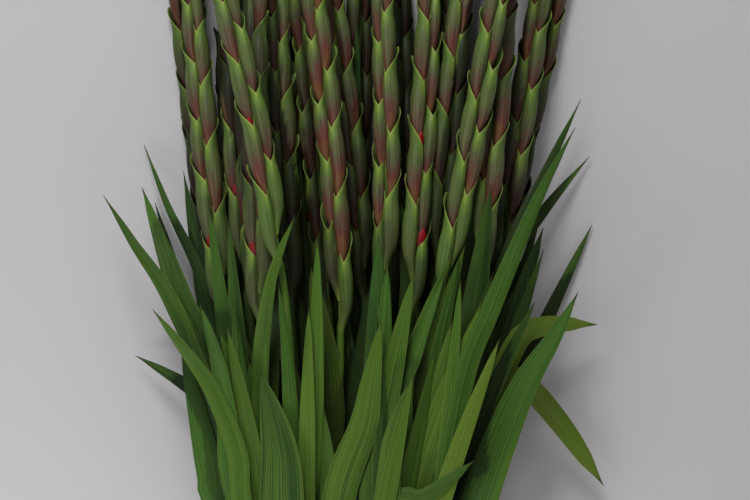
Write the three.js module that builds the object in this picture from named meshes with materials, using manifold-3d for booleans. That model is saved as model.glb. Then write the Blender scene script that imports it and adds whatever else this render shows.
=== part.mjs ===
// A bunch of cut gladiolus in tight bud, lying on a flat surface, in millimetres.
// +Y runs from the cut ends to the spike tips, +X across the bunch, +Z up, away from the surface.
// Each leafy stem is one solid: its sheathed stalk, its two ranks of buds in their bracts, and its leaves.
// The stems lie in three layers, and in each layer the stalks are laid first and then the leaves.
// Each piece rests on the pile of what was laid before it, so no two stems cut into each other,
// and a tie holds their lower ends together.
import * as THREE from "three";
import { mergeVertices } from "three/addons/utils/BufferGeometryUtils.js";
import Module from "manifold-3d";

const wasm = await Module();
wasm.setup();

// Heights along the bunch
const TIE_Y = 90;
const MID_Y = 568;
const TOP_Y = 785;

// The tie
const TIE_WIDTH = 9;
const TIE_THICKNESS = 2.2;
const TIE_CLEARANCE = 0.35;
const TIE_DIRECTIONS = 24;

// The stalk, which leaf sheaths widen below the spike
const SHEATH_WIDTH = 12.5;
const SHEATH_THICKNESS = 10.5;
const NECK_WIDTH = 9;
const NECK_THICKNESS = 8;
const RACHIS_WIDTH = 3.2;
const TIP_WIDTH = 1.2;
const STALK_SIDES = 5;
const STALK_BENDS_AT = [0, 150, 235, 330, 430, 530, 640, 760, 880];
const TIE_SPACING = 13.3;
const TIE_EASE = 40;
const MID_EASE = 100;
const STALK_FALL = 0.13;

// The spike and its buds
const SPIKE_RADIUS = 12;
const SPIKE_TAPER = 0.6;
const SPIKE_TAPER_POWER = 3;
const BUD_SPACING = 29.5;
const BUD_SPACING_SHRINK = 0.28;
const BUD_LENGTH_IN_SPACINGS = 2;
const BUD_SIDES = 4;
const BUD_WIDEST_AT = 0.42;
const BUD_OFFSET = 0.59;
const BUD_DEPTH = 0.41;
const BUD_WIDTH = 0.58;
const LAST_BUD_BELOW_TIP = 34;
const LARGEST_SPIKE_ROLL = 0.5;

// The leaves
const LEAF_THICKNESS = 0.8;
const LEAF_STRETCH = 110;
const LISTED_LEAF_STRETCH = 63;
const LEAF_PRINT_STEPS = 320;
const LEAF_AIM = 6;
const COURSE_STEPS = 60;
const LEAF_BASE_HALF_WIDTH = 4;
const LEAF_TIP_HALF_WIDTH = 0.9;
const LEAF_DROOP = 0.35;
const LEAF_FALL = 0.5;
const LEAF_HIDDEN_LENGTH = 20;
const LEAF_ROOT_LENGTH = 45;
const LEAF_SWELL_FROM = 0.08;
const LEAF_SWELL_OVER = 0.35;
const LEAF_TAPER_FROM = 0.5;
const LEAF_TAPER_POWER = 2;

// The leaves that no line below lists: where they start and end, and how they lean, with the ranges
// that they are drawn from
const LEAVES_PER_STEM = [3, 5, 5];
const LOWEST_LEAF_Y = 232;
const LEAF_STEP_Y = 30;
const LEAF_FOOT_RANGE = [-15, 15];
const LEAF_TIP_RANGE = [-100, 35];
const LEAF_TIP_STEP = 10;
const LEAF_LEAN_RANGE = [2, 55];
const LEAF_HALF_WIDTH_RANGE = [6, 12];
const LEAF_FOOT_ROLL_RANGE = [-0.06, 0.06];
const LEAF_TIP_ROLL_RANGE = [-1, 1];
const LEAF_ROLL_SHARES = [0.3, 0.6, 1];
const LEAF_MIDDLE = 0.55;
const LEAF_MIDDLE_LEAN = 0.45;
const LEAF_FAN = 0.2;

// How the pile is laid
const GAP = 0.35;
const CELL = 1.5;
const PILE_HALF_WIDTH = 330;
const PILE_LENGTH = 1150;
const STEP = 2;
const SETTLE_PASSES = 16;
const SETTLE_SHARE = 0.3;

// The stems, in layers from the lowest to the top one. Each line is x at MID_Y and at TOP_Y, the
// heights where its lowest bud starts and where its tip is, and how high its leaves reach.
const LAYERS = [
  [
    [-126, -151, 548, 950, 640],
    [-108, -109, 552, 960, 690],
    [-40, -44, 540, 940, 800],
    [10, 9, 556, 940, 790],
    [64, 75, 548, 950, 780],
    [86, 92, 550, 945, 720],
    [108, 131, 545, 960, 660],
    [133, 179, 552, 960, 640],
  ],
  [
    [-119, -139, 516, 955, 600],
    [-97, -106, 532, 965, 560],
    [-57, -65, 530, 970, 560],
    [-17, -42, 522, 980, 550],
    [20, -14, 530, 975, 570],
    [52, 45, 538, 960, 570],
    [76, 96, 540, 955, 580],
    [131, 166, 540, 950, 620],
  ],
  [
    [-82, -84, 510, 970, 560],
    [37, 30, 530, 950, 560],
    [116, 135, 545, 975, 590],
    [-1, -29, 504, 955, 540],
    [59, 70, 520, 965, 560],
    [84, 126, 532, 970, 560],
    [-47, -104, 560, 980, 540],
  ],
];

// Leaves that stand out of the bunch or lie in front of it: the number of the stem that each grows
// from, the height of its foot on the stalk, half its width, how bluntly it tapers, its roll at the foot
// and at the tip in radians, and the points that it passes, tip last.
const LEAVES = [
  [1, 260, 6, 2, 0.1, 0.2, [[-126, 598], [-139, 655], [-150, 686]]],
  [1, 235, 10, 2, 0.1, 0.3, [[-96, 405], [-131, 441], [-191, 474]]],
  [2, 215, 7, 2, 0.2, 0.6, [[-104, 430], [-126, 533], [-161, 607], [-184, 661]]],
  [8, 230, 9, 2, 0.1, -0.3, [[104, 430], [139, 552], [170, 601], [213, 651]]],
  [9, 230, 9, 2, 0.1, 0.4, [[-117, 437], [-152, 522], [-189, 576], [-216, 615]]],
  [9, 250, 10, 2, -0.1, 0.2, [[-100, 411], [-126, 494], [-139, 524], [-158, 581]]],
  [10, 222, 12, 2, 0.1, -0.1, [[-112, 350], [-119, 376], [-131, 433], [-144, 485]]],
  [11, 240, 9, 2, 0.1, 0.3, [[-66, 400], [-67, 470], [-62, 550]]],
  [16, 240, 8, 2, 0.1, -0.4, [[100, 450], [139, 568], [170, 633], [203, 700]]],
  [16, 262, 10, 5, 0.1, 0.2, [[108, 420], [128, 456], [147, 492], [165, 501], [190, 503], [217, 502]]],
  [16, 228, 10, 6, 0.1, 0.3, [[92, 376], [120, 442], [140, 458], [158, 446], [187, 412], [209, 381], [223, 360]]],
  [17, 235, 8.5, 2, 0.1, -0.2, [[-88, 350], [-93, 394], [-109, 437], [-126, 467], [-168, 517]]],
  [17, 250, 10, 2, 0.1, 0.2, [[-96, 367], [-102, 420], [-111, 472], [-128, 522]]],
  [17, 255, 9, 2, -0.3, -0.6, [[-83, 385], [-90, 437], [-99, 526]]],
  [17, 265, 8, 2, 0.2, 0.5, [[-76, 430], [-67, 535], [-45, 597]]],
  [17, 218, 19, 2, 0.05, 0.3, [[-56, 350], [-59, 405], [-75, 466]]],
  [18, 225, 11, 2, 0.1, 0.4, [[30, 350], [36, 410], [50, 457]]],
  [18, 230, 8, 3, 0.1, 0.2, [[34, 352], [61, 361], [83, 376], [104, 392]]],
  [19, 235, 9, 2, -0.2, -0.4, [[92, 440], [120, 520], [161, 611], [196, 674]]],
  [19, 215, 15, 1.8, 0, 0.2, [[108, 350], [127, 402], [142, 438], [156, 465], [174, 493], [195, 532]]],
  [20, 220, 14, 2, -0.05, 0.4, [[-10, 350], [12, 420], [18, 455], [27, 510]]],
  [21, 245, 12, 2, 0.2, 0.5, [[19, 390], [30, 437], [47, 515], [55, 549]]],
  [21, 232, 8, 2, -0.3, -0.7, [[50, 376], [59, 420], [73, 484]]],
  [22, 262, 9, 2, 0.2, 0.6, [[45, 437], [55, 480], [81, 548]]],
  [22, 275, 9, 2, -0.2, -0.5, [[68, 430], [79, 495], [93, 561]]],
  [23, 285, 7, 2, 0.1, 0.3, [[-30, 400], [-28, 480], [-27, 578]]],
  [23, 255, 7, 2, -0.2, -0.5, [[-48, 410], [-52, 480], [-59, 539]]],
];

const GREEN = 0x4f7030;
const TIE_COLOUR = 0xb59a6a;

// Seeded draws, so that the bunch is the same each time
let seed = 20117;
function draw(low, high) {
  seed = (seed * 16807) % 2147483647;
  return low + ((high - low) * seed) / 2147483647;
}

const clamp = (v, low, high) => Math.min(high, Math.max(low, v));
const mix = (a, b, t) => a + (b - a) * t;

// A grid of cells that holds how high the leaves lie so far. The bare surface lies one gap below
// zero, so that what rests on it touches zero.
const COLUMNS = Math.round((2 * PILE_HALF_WIDTH) / CELL);
const ROWS = Math.round(PILE_LENGTH / CELL);
const MARGIN_Y = 40;

function cellAt(x, y) {
  const column = clamp(Math.round((x + PILE_HALF_WIDTH) / CELL), 1, COLUMNS - 2);
  const row = clamp(Math.round((y + MARGIN_Y) / CELL), 1, ROWS - 2);
  return row * COLUMNS + column;
}

const leafPile = new Float32Array(COLUMNS * ROWS).fill(-GAP);

function raisePile(x, y, z) {
  const middle = cellAt(x, y);
  for (const row of [-COLUMNS, 0, COLUMNS]) {
    for (const column of [-1, 0, 1]) {
      const cell = middle + row + column;
      leafPile[cell] = Math.max(leafPile[cell], z);
    }
  }
}

// The half width and half thickness of a stalk, and the radius of its spike, at height y
function stalkSize(stem, y) {
  if (y < stem.first) {
    const t = y / stem.first;
    return [mix(SHEATH_WIDTH, NECK_WIDTH, t) / 2, mix(SHEATH_THICKNESS, NECK_THICKNESS, t) / 2];
  }
  const half = mix(RACHIS_WIDTH, TIP_WIDTH, (y - stem.first) / (stem.tip - stem.first)) / 2;
  return [half, half];
}

function spikeRadius(stem, y) {
  const t = clamp((y - stem.first) / (stem.tip - stem.first), 0, 1);
  return SPIKE_RADIUS * (1 - SPIKE_TAPER * t ** SPIKE_TAPER_POWER);
}

function envelope(stem, y) {
  if (y < stem.first - STEP) return stalkSize(stem, y);
  return [spikeRadius(stem, y), spikeRadius(stem, y)];
}

// How far past a corner a place is, with the corner eased over a length
const past = (place, ease) => (place + Math.hypot(place, ease)) / 2;

// The stems run level with each other below the tie, fan out above it, and bend a little at MID_Y
function fanX(stem, y) {
  const lower = (stem.midX - stem.tieX) / (MID_Y - TIE_Y);
  const upper = (stem.topX - stem.midX) / (TOP_Y - MID_Y);
  const rise = past(y - TIE_Y, TIE_EASE);
  return stem.tieX + lower * rise + (upper - lower) * past(rise + TIE_Y - MID_Y, MID_EASE);
}

function stretchAt(bends, place) {
  const next = bends.findIndex((bend) => bend > place);
  return next < 0 ? bends.length - 2 : clamp(next - 1, 0, bends.length - 2);
}

function between(bends, values, place) {
  const i = stretchAt(bends, place);
  return mix(values[i], values[i + 1], clamp((place - bends[i]) / (bends[i + 1] - bends[i]), 0, 1));
}

const stemX = (stem, y) => between(stem.bends, stem.x, y);

// Heights at a row of bends, so that the straight stretches between them clear what is needed at each
// place. They start high and come down a share of the slack at a time. A foot's height stays as given.
function settle(bends, places, foot) {
  const spots = places.map(([place, need]) => {
    const i = stretchAt(bends, place);
    return [i, (place - bends[i]) / (bends[i + 1] - bends[i]), need];
  });
  const beside = bends.map((_, i) => spots.filter(([k]) => k === i || k === i - 1));
  const heights = beside.map((near, bend) => {
    if (foot !== undefined && bend === 0) return foot;
    const asks = near.map(([i, share, need]) =>
      foot !== undefined && i === 0 ? foot + (need - foot) / share : need,
    );
    return Math.max(...asks);
  });
  for (let pass = 1; pass <= SETTLE_PASSES; pass++) {
    for (let bend = foot === undefined ? 0 : 1; bend < bends.length; bend++) {
      let low = -Infinity;
      for (const [i, share, need] of beside[bend]) {
        const [weight, other] = i === bend ? [1 - share, heights[bend + 1]] : [share, heights[bend - 1]];
        if (weight > 1e-6) low = Math.max(low, (need - (1 - weight) * other) / weight);
      }
      const slack = Math.max(0, heights[bend] - low);
      heights[bend] -= slack * (pass < SETTLE_PASSES ? SETTLE_SHARE : 1);
    }
  }
  return heights;
}

// Heights raised where they would fall more steeply than the piece can bend
function eased(heights, bends, steepest) {
  const raised = [...heights];
  const ease = (i, j) => {
    raised[i] = Math.max(raised[i], raised[j] - steepest * Math.abs(bends[j] - bends[i]));
  };
  for (let i = 1; i < raised.length; i++) ease(i, i - 1);
  for (let i = raised.length - 2; i >= 0; i--) ease(i, i + 1);
  return raised;
}

const stemZ = (stem, y) => between(stem.bends, stem.z, y);

const stalksLaid = [];

// How high the stalks and spikes laid so far reach at a point, leaving one of them out
function stalksTop(x, y, leftOut) {
  let top = -GAP;
  for (const stem of stalksLaid) {
    if (stem === leftOut || y > stem.tip) continue;
    const [width, thickness] = envelope(stem, y);
    const apart = (x - stemX(stem, y)) / (width + GAP);
    if (Math.abs(apart) < 1) top = Math.max(top, stemZ(stem, y) + thickness * Math.sqrt(1 - apart * apart));
  }
  return top;
}

// What the middle of a stalk must clear at height y: the tie's underside, the leaves below it, and
// the stalks and spikes below it, which nestle against each other as round sections do
function stalkNeed(stem, y) {
  const [width, thickness] = envelope(stem, y);
  const x = stemX(stem, y);
  let need = thickness;
  if (Math.abs(y - TIE_Y) < TIE_WIDTH) need += TIE_THICKNESS + TIE_CLEARANCE;
  for (let u = -1; u <= 1; u += 0.2) {
    const under = leafPile[cellAt(x + u * width, y)];
    need = Math.max(need, under + GAP + thickness * Math.sqrt(Math.max(0, 1 - u * u)));
  }
  for (const other of stalksLaid) {
    if (y > other.tip) continue;
    const [otherWidth, otherThickness] = envelope(other, y);
    const apart = (x - stemX(other, y)) / (width + otherWidth + GAP);
    if (Math.abs(apart) >= 1) continue;
    const rise = (thickness + otherThickness + GAP) * Math.sqrt(1 - apart * apart);
    need = Math.max(need, stemZ(other, y) + rise);
  }
  return need;
}

function layStalk(stem) {
  const places = [];
  for (let y = 0; y <= stem.tip; y += STEP) places.push([y, stalkNeed(stem, y)]);
  stem.z = eased(settle(stem.bends, places), stem.bends, STALK_FALL);
  stalksLaid.push(stem);
}

const stemPoint = (stem, y) => new THREE.Vector3(stemX(stem, y), y, stemZ(stem, y));

// A closed mesh from rings of points with equal counts, each end closed by a fan or by a point. The
// second half of each ring's sides is split the other way, so the two faces of a blade match.
function lofted(rings) {
  const points = rings.flat();
  const n = rings[0].length;
  const faces = [];
  for (let ring = 0; ring + 1 < rings.length; ring++) {
    for (let i = 0; i < n; i++) {
      const a = ring * n + i;
      const b = ring * n + ((i + 1) % n);
      if (i < n / 2) faces.push(a, b, b + n, a, b + n, a + n);
      else faces.push(a, b, a + n, b, b + n, a + n);
    }
  }
  const end = (rings.length - 1) * n;
  for (let i = 1; i + 1 < n; i++) {
    faces.push(0, i + 1, i);
    faces.push(end, end + i, end + i + 1);
  }
  return solidOf(points, faces);
}

function solidOf(points, faces) {
  const geometry = new THREE.BufferGeometry().setFromPoints(points);
  geometry.setIndex(faces);
  const merged = mergeVertices(geometry, 1e-4);
  const index = [];
  for (let i = 0; i < merged.index.count; i += 3) {
    const [a, b, c] = [0, 1, 2].map((k) => merged.index.getX(i + k));
    if (a !== b && b !== c && c !== a) index.push(a, b, c);
  }
  const made = (triVerts) =>
    new wasm.Manifold(
      new wasm.Mesh({ numProp: 3, vertProperties: merged.attributes.position.array, triVerts }),
    );
  const solid = made(new Uint32Array(index));
  return solid.volume() > 0 ? solid : made(new Uint32Array(index.reverse()));
}

function stalk(stem) {
  const rings = [];
  for (const y of stem.bends) {
    const [width, thickness] = stalkSize(stem, y);
    const centre = stemPoint(stem, y);
    const ring = [];
    for (let k = 0; k < STALK_SIDES; k++) {
      const angle = (2 * Math.PI * k) / STALK_SIDES;
      ring.push(
        new THREE.Vector3(
          centre.x + width * Math.cos(angle),
          y,
          centre.z + thickness * Math.sin(angle),
        ),
      );
    }
    rings.push(ring);
  }
  return lofted(rings);
}

// A bud in its bract lies along the stalk, from its foot in it to a tip that stands clear of it
function bud(stem, y, side) {
  const t = (y - stem.first) / (stem.tip - stem.first);
  const length = BUD_SPACING * (1 - BUD_SPACING_SHRINK * t) * BUD_LENGTH_IN_SPACINGS;
  const radius = spikeRadius(stem, Math.min(y + length / 2, stem.tip));
  const foot = stemPoint(stem, y);
  const d = stemPoint(stem, Math.min(y + length, stem.tip)).sub(foot).normalize();
  const across = new THREE.Vector3(d.y, -d.x, 0).normalize();
  const up = new THREE.Vector3().crossVectors(across, d);
  const out = across.clone().multiplyScalar(side * Math.cos(stem.roll));
  out.addScaledVector(up, side * Math.sin(stem.roll));
  const wide = new THREE.Vector3().crossVectors(d, out);
  const centre = (at, offset) =>
    foot.clone().addScaledVector(d, at * length).addScaledVector(out, offset * radius);
  const ring = [];
  for (let k = 0; k < BUD_SIDES; k++) {
    const angle = (2 * Math.PI * k) / BUD_SIDES;
    ring.push(
      centre(BUD_WIDEST_AT, BUD_OFFSET)
        .addScaledVector(out, BUD_DEPTH * radius * Math.cos(angle))
        .addScaledVector(wide, BUD_WIDTH * radius * Math.sin(angle)),
    );
  }
  return lofted([Array(BUD_SIDES).fill(centre(0, 0)), ring, Array(BUD_SIDES).fill(centre(1, BUD_OFFSET))]);
}

function spike(stem) {
  const buds = [];
  let side = stem.side;
  for (let y = stem.first; y < stem.tip - LAST_BUD_BELOW_TIP; ) {
    buds.push(bud(stem, y, side));
    const t = (y - stem.first) / (stem.tip - stem.first);
    y += BUD_SPACING * (1 - BUD_SPACING_SHRINK * t);
    side = -side;
  }
  return buds;
}

// A point on the smooth curve through the points given, t from 0 to 1
function curvePoint(points, t) {
  const place = clamp(t, 0, 1) * (points.length - 1);
  const i = Math.min(Math.floor(place), points.length - 2);
  const f = place - i;
  const [a, b, c, e] = [i - 1, i, i + 1, i + 2].map((k) => points[clamp(k, 0, points.length - 1)]);
  return [0, 1].map((k) => {
    const cubic = 3 * (b[k] - c[k]) + e[k] - a[k];
    const square = 2 * a[k] - 5 * b[k] + 4 * c[k] - e[k];
    return b[k] + 0.5 * f * (c[k] - a[k] + f * (square + f * cubic));
  });
}

// That curve with the distance along it at each of its points
function courseOf(points) {
  const course = { at: [0], x: [points[0][0]], y: [points[0][1]] };
  for (let i = 1; i <= COURSE_STEPS; i++) {
    const [x, y] = curvePoint(points, i / COURSE_STEPS);
    course.at.push(course.at[i - 1] + Math.hypot(x - course.x[i - 1], y - course.y[i - 1]));
    course.x.push(x);
    course.y.push(y);
  }
  return course;
}

// The sword shape of a leaf: its half width at t, from foot to tip
function leafHalfWidth(leaf, t) {
  const rise = clamp((t - LEAF_SWELL_FROM) / LEAF_SWELL_OVER, 0, 1);
  const swell = mix(LEAF_BASE_HALF_WIDTH, leaf.halfWidth, rise * rise * (3 - 2 * rise));
  const fall = clamp((t - LEAF_TAPER_FROM) / (1 - LEAF_TAPER_FROM), 0, 1);
  return mix(swell, LEAF_TIP_HALF_WIDTH, fall ** leaf.taper);
}

// The middle of a leaf, and the way from there to its edge, at t
function leafSection(leaf, t) {
  const { at, x: xs, y: ys } = leaf.course;
  const s = t * at[COURSE_STEPS];
  const [x, y] = [between(at, xs, s), between(at, ys, s)];
  const dx = between(at, xs, s + LEAF_AIM) - between(at, xs, s - LEAF_AIM);
  const dy = between(at, ys, s + LEAF_AIM) - between(at, ys, s - LEAF_AIM);
  const length = Math.hypot(dx, dy);
  const roll = mix(leaf.rollFoot, leaf.rollTip, t ** 3);
  const half = leafHalfWidth(leaf, t);
  return [
    x,
    y,
    (half * Math.cos(roll) * dy) / length,
    (-half * Math.cos(roll) * dx) / length,
    half * Math.sin(roll),
  ];
}

// A point of a leaf at t along and w, from 0 to 1, across: its x, its y and how far it rises above the
// middle line. Between two bends the leaf is flat on each side of one diagonal.
function leafPoint(leaf, t, w) {
  const i = stretchAt(leaf.bends, t);
  const share = clamp((t - leaf.bends[i]) / (leaf.bends[i + 1] - leaf.bends[i]), 0, 1);
  const [x, y, ...before] = leaf.sections[i];
  const [nextX, nextY, ...after] = leaf.sections[i + 1];
  const [acrossX, acrossY, rise] = before.map((from, k) => {
    const turn = share * (after[k] - from);
    return w > share ? from * (2 * w - 1) + turn : after[k] * 2 * w - from - turn;
  });
  return [mix(x, nextX, share) + acrossX, mix(y, nextY, share) + acrossY, rise];
}

// A leaf's foot is sunk in its stalk, and past that it lies on the pile
function layLeaf(stem, leaf) {
  leaf.course = courseOf(leaf.points);
  const length = leaf.course.at[COURSE_STEPS];
  const stretches = Math.round(length / leaf.stretch);
  leaf.bends = Array.from({ length: stretches + 1 }, (_, i) => i / stretches);
  leaf.bends[1] = LEAF_ROOT_LENGTH / length;
  leaf.sections = leaf.bends.map((t) => leafSection(leaf, t));
  const places = [];
  const foot = stemZ(stem, leaf.points[0][1]);
  for (let s = LEAF_HIDDEN_LENGTH; s <= length; s += STEP) {
    const t = s / length;
    let need = foot * (1 - LEAF_DROOP * t * t);
    for (let w = 0; w <= 1; w += 1 / 16) {
      const [x, y, rise] = leafPoint(leaf, t, w);
      const stalks = stalksTop(x, y, s < LEAF_ROOT_LENGTH ? stem : null);
      const under = Math.max(leafPile[cellAt(x, y)], stalks);
      need = Math.max(need, under + GAP + LEAF_THICKNESS / 2 - rise);
    }
    places.push([t, need]);
  }
  leaf.z = eased(settle(leaf.bends, places, foot), leaf.bends.map((t) => t * length), LEAF_FALL);
  leaf.z[0] = foot;
}

function blade(leaf) {
  const up = new THREE.Vector3(0, 0, LEAF_THICKNESS / 2);
  const rings = leaf.sections.map(([x, y, ...across], i) => {
    const side = new THREE.Vector3(...across);
    const middle = new THREE.Vector3(x, y, leaf.z[i]);
    return [
      middle.clone().sub(side).sub(up),
      middle.clone().sub(side).add(up),
      middle.clone().add(side).add(up),
      middle.clone().add(side).sub(up),
    ];
  });
  return lofted(rings);
}

// Points all over the top of a leaf
function leafTop(leaf) {
  const tops = [];
  for (let i = 0; i <= LEAF_PRINT_STEPS; i++) {
    const t = i / LEAF_PRINT_STEPS;
    const z = between(leaf.bends, leaf.z, t) + LEAF_THICKNESS / 2;
    for (let w = 0; w <= 1; w += 1 / 20) {
      const [x, y, rise] = leafPoint(leaf, t, w);
      tops.push([x, y, z + rise]);
    }
  }
  return tops;
}

// The leaves of one stem: those listed for it, and others by rule, on alternate sides
function leavesOf(stem) {
  const leaves = LEAVES.filter(([number]) => number === stem.number).map(
    ([, footY, halfWidth, taper, rollFoot, rollTip, points]) => {
      const stretch = LISTED_LEAF_STRETCH;
      const course = [[stemX(stem, footY), footY], ...points];
      return { stem, stretch, halfWidth, taper, rollFoot, rollTip, points: course };
    },
  );
  const count = LEAVES_PER_STEM[stem.layer];
  for (let i = 0; i < count; i++) {
    const side = i % 2 ? stem.side : -stem.side;
    const footY = LOWEST_LEAF_Y + LEAF_STEP_Y * i + draw(...LEAF_FOOT_RANGE);
    const tipY = stem.leafTop + draw(...LEAF_TIP_RANGE) - LEAF_TIP_STEP * (count - 1 - i);
    const lean = side * draw(...LEAF_LEAN_RANGE) + LEAF_FAN * stem.midX;
    const midY = mix(footY, tipY, LEAF_MIDDLE);
    leaves.push({
      stem,
      stretch: LEAF_STRETCH,
      taper: LEAF_TAPER_POWER,
      halfWidth: draw(...LEAF_HALF_WIDTH_RANGE),
      rollFoot: LEAF_ROLL_SHARES[stem.layer] * draw(...LEAF_FOOT_ROLL_RANGE),
      rollTip: LEAF_ROLL_SHARES[stem.layer] * draw(...LEAF_TIP_ROLL_RANGE),
      points: [
        [stemX(stem, footY), footY],
        [stemX(stem, midY) + lean * LEAF_MIDDLE_LEAN, midY],
        [stemX(stem, tipY) + lean, tipY],
      ],
    });
  }
  return leaves;
}

// The pieces of one layer: first each stalk with its spike, then all its leaves. The leaf with the
// highest foot is laid first, because lower leaves wrap round outside the higher ones.
function layLayer(lines, layer) {
  const stems = lines.map(([midX, topX, first, tip, leafTop]) => {
    const number = nextNumber++;
    return { number, layer, midX, topX, first, tip, leafTop, solids: [] };
  });
  const order = stems.map((stem) => stem.midX).sort((a, b) => a - b);
  for (const stem of stems) {
    const shift = ((layer % 2) - 0.5) / 2;
    stem.tieX = (order.indexOf(stem.midX) - (stems.length - 1) / 2 + shift) * TIE_SPACING;
    stem.bends = [...STALK_BENDS_AT, stem.tip];
    stem.x = stem.bends.map((y) => fanX(stem, y));
    stem.roll = draw(-LARGEST_SPIKE_ROLL, LARGEST_SPIKE_ROLL);
    stem.side = draw(0, 1) < 0.5 ? -1 : 1;
    layStalk(stem);
    stem.solids.push(stalk(stem), ...spike(stem));
  }
  const leaves = stems.flatMap(leavesOf).sort((a, b) => b.points[0][1] - a.points[0][1]);
  for (const leaf of leaves) {
    layLeaf(leaf.stem, leaf);
    leaf.stem.solids.push(blade(leaf));
    for (const [x, y, z] of leafTop(leaf)) raisePile(x, y, z);
  }
  return stems;
}

function joined(solids) {
  let whole = solids[0];
  for (const solid of solids.slice(1)) whole = whole.add(solid);
  return whole;
}

let nextNumber = 1;
const stems = LAYERS.flatMap(layLayer);

// The tie: a band whose sides are tangent to the bundle of stalks all round
function tieSolid() {
  const points = [];
  for (const stem of stems) {
    for (const y of [TIE_Y - TIE_WIDTH / 2, TIE_Y + TIE_WIDTH / 2]) {
      const [width, thickness] = stalkSize(stem, y);
      const centre = stemPoint(stem, y);
      for (let k = 0; k < STALK_SIDES; k++) {
        const angle = (2 * Math.PI * k) / STALK_SIDES;
        points.push([centre.x + width * Math.cos(angle), centre.z + thickness * Math.sin(angle)]);
      }
    }
  }
  const turn = (2 * Math.PI) / TIE_DIRECTIONS;
  const reach = Array.from({ length: TIE_DIRECTIONS }, (_, i) => {
    const [c, s] = [Math.cos(i * turn), Math.sin(i * turn)];
    return Math.max(...points.map(([x, z]) => x * c + z * s));
  });
  // Where two neighbouring tangents meet
  const corner = (i, out) => {
    const [a, b] = [reach[i] + out, reach[(i + 1) % TIE_DIRECTIONS] + out];
    const along = (b - a * Math.cos(turn)) / Math.sin(turn);
    const [c, s] = [Math.cos(i * turn), Math.sin(i * turn)];
    return new THREE.Vector2(a * c - along * s, a * s + along * c);
  };
  const outline = (out) => reach.map((_, i) => corner(i, out));
  const shape = new THREE.Shape(outline(TIE_CLEARANCE + TIE_THICKNESS));
  shape.holes.push(new THREE.Path(outline(TIE_CLEARANCE).reverse()));
  const geometry = new THREE.ExtrudeGeometry(shape, { depth: TIE_WIDTH, bevelEnabled: false });
  geometry.rotateX(Math.PI / 2);
  geometry.translate(0, TIE_Y + TIE_WIDTH / 2, 0);
  return geometry;
}

function geometryOf(solid) {
  const mesh = solid.getMesh();
  const geometry = new THREE.BufferGeometry();
  const positions = new Float32Array(mesh.numVert * 3);
  for (let i = 0; i < mesh.numVert; i++) {
    positions.set(mesh.vertProperties.subarray(i * mesh.numProp, i * mesh.numProp + 3), i * 3);
  }
  geometry.setAttribute("position", new THREE.BufferAttribute(positions, 3));
  geometry.setIndex(new THREE.BufferAttribute(mesh.triVerts, 1));
  return geometry;
}

const bunch = new THREE.Group();
for (const stem of stems) {
  const material = new THREE.MeshStandardMaterial({ color: GREEN, roughness: 0.6 });
  const mesh = new THREE.Mesh(geometryOf(joined(stem.solids)), material);
  mesh.name = "gladiolus_" + String(stem.number).padStart(2, "0");
  bunch.add(mesh);
}
const tieMaterial = new THREE.MeshStandardMaterial({ color: TIE_COLOUR, roughness: 0.8 });
const tie = new THREE.Mesh(tieSolid(), tieMaterial);
tie.name = "tie";
bunch.add(tie);

// The part's origin is on the surface, under the middle of the whole bunch
const box = new THREE.Box3().setFromObject(bunch, true);
const centre = box.getCenter(new THREE.Vector3());
bunch.position.set(-centre.x, -centre.y, -box.min.z);

const part = new THREE.Group();
part.add(bunch);

export default part;
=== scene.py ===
"""A bunch of cut gladiolus in tight bud, lying on a pale floor, seen from straight above.

The layout of the stems and leaves repeats the one that the solids were made with, in millimetres, so
each finer piece lies where its solid does. +Y runs from the cut ends to the spike tips and +Z is up.
"""

import math
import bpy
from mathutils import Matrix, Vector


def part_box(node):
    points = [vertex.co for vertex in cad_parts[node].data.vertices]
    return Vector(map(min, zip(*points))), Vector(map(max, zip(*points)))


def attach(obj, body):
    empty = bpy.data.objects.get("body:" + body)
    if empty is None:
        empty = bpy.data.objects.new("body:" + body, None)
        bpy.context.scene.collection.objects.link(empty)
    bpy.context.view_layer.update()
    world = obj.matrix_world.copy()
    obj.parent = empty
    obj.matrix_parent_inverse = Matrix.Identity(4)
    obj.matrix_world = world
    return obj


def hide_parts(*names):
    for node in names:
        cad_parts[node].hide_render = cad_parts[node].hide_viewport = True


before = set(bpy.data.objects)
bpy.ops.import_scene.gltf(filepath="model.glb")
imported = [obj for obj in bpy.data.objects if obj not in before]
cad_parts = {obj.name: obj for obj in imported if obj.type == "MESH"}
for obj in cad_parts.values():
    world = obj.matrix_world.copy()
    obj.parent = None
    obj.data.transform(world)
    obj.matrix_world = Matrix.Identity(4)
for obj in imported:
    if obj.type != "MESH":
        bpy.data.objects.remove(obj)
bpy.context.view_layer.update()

from types import SimpleNamespace

import bpy
import numpy as np
from mathutils import Vector

# Heights along the bunch
TIE_Y = 90
MID_Y = 568
TOP_Y = 785

# The tie
TIE_WIDTH = 9
TIE_THICKNESS = 2.2
TIE_CLEARANCE = 0.35
TIE_DIRECTIONS = 96
TIE_LEAST_STEP = 0.05
STALK_OUTLINE_POINTS = 24

# Its strands, which wander along the bunch as they go round it
TIE_STRANDS = 3
TIE_WANDER = 0.2
TIE_FEWEST_WAVES = 2
TIE_OVERLAP = 1.08
TIE_THINNING = 0.08
TIE_RINGS = 120
TIE_AROUND = 12
TIE_MARK_LENGTH = 100

# The stalk, which leaf sheaths widen below the spike
SHEATH_WIDTH = 12.5
SHEATH_THICKNESS = 10.5
NECK_WIDTH = 9
NECK_THICKNESS = 8
RACHIS_WIDTH = 3.2
TIP_WIDTH = 1.2
STALK_BENDS_AT = [0, 150, 235, 330, 430, 530, 640, 760, 880]
TIE_SPACING = 13.3
TIE_STAGGER = 0.5
TIE_EASE = 40
MID_EASE = 100
STALK_FALL = 0.13

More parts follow.
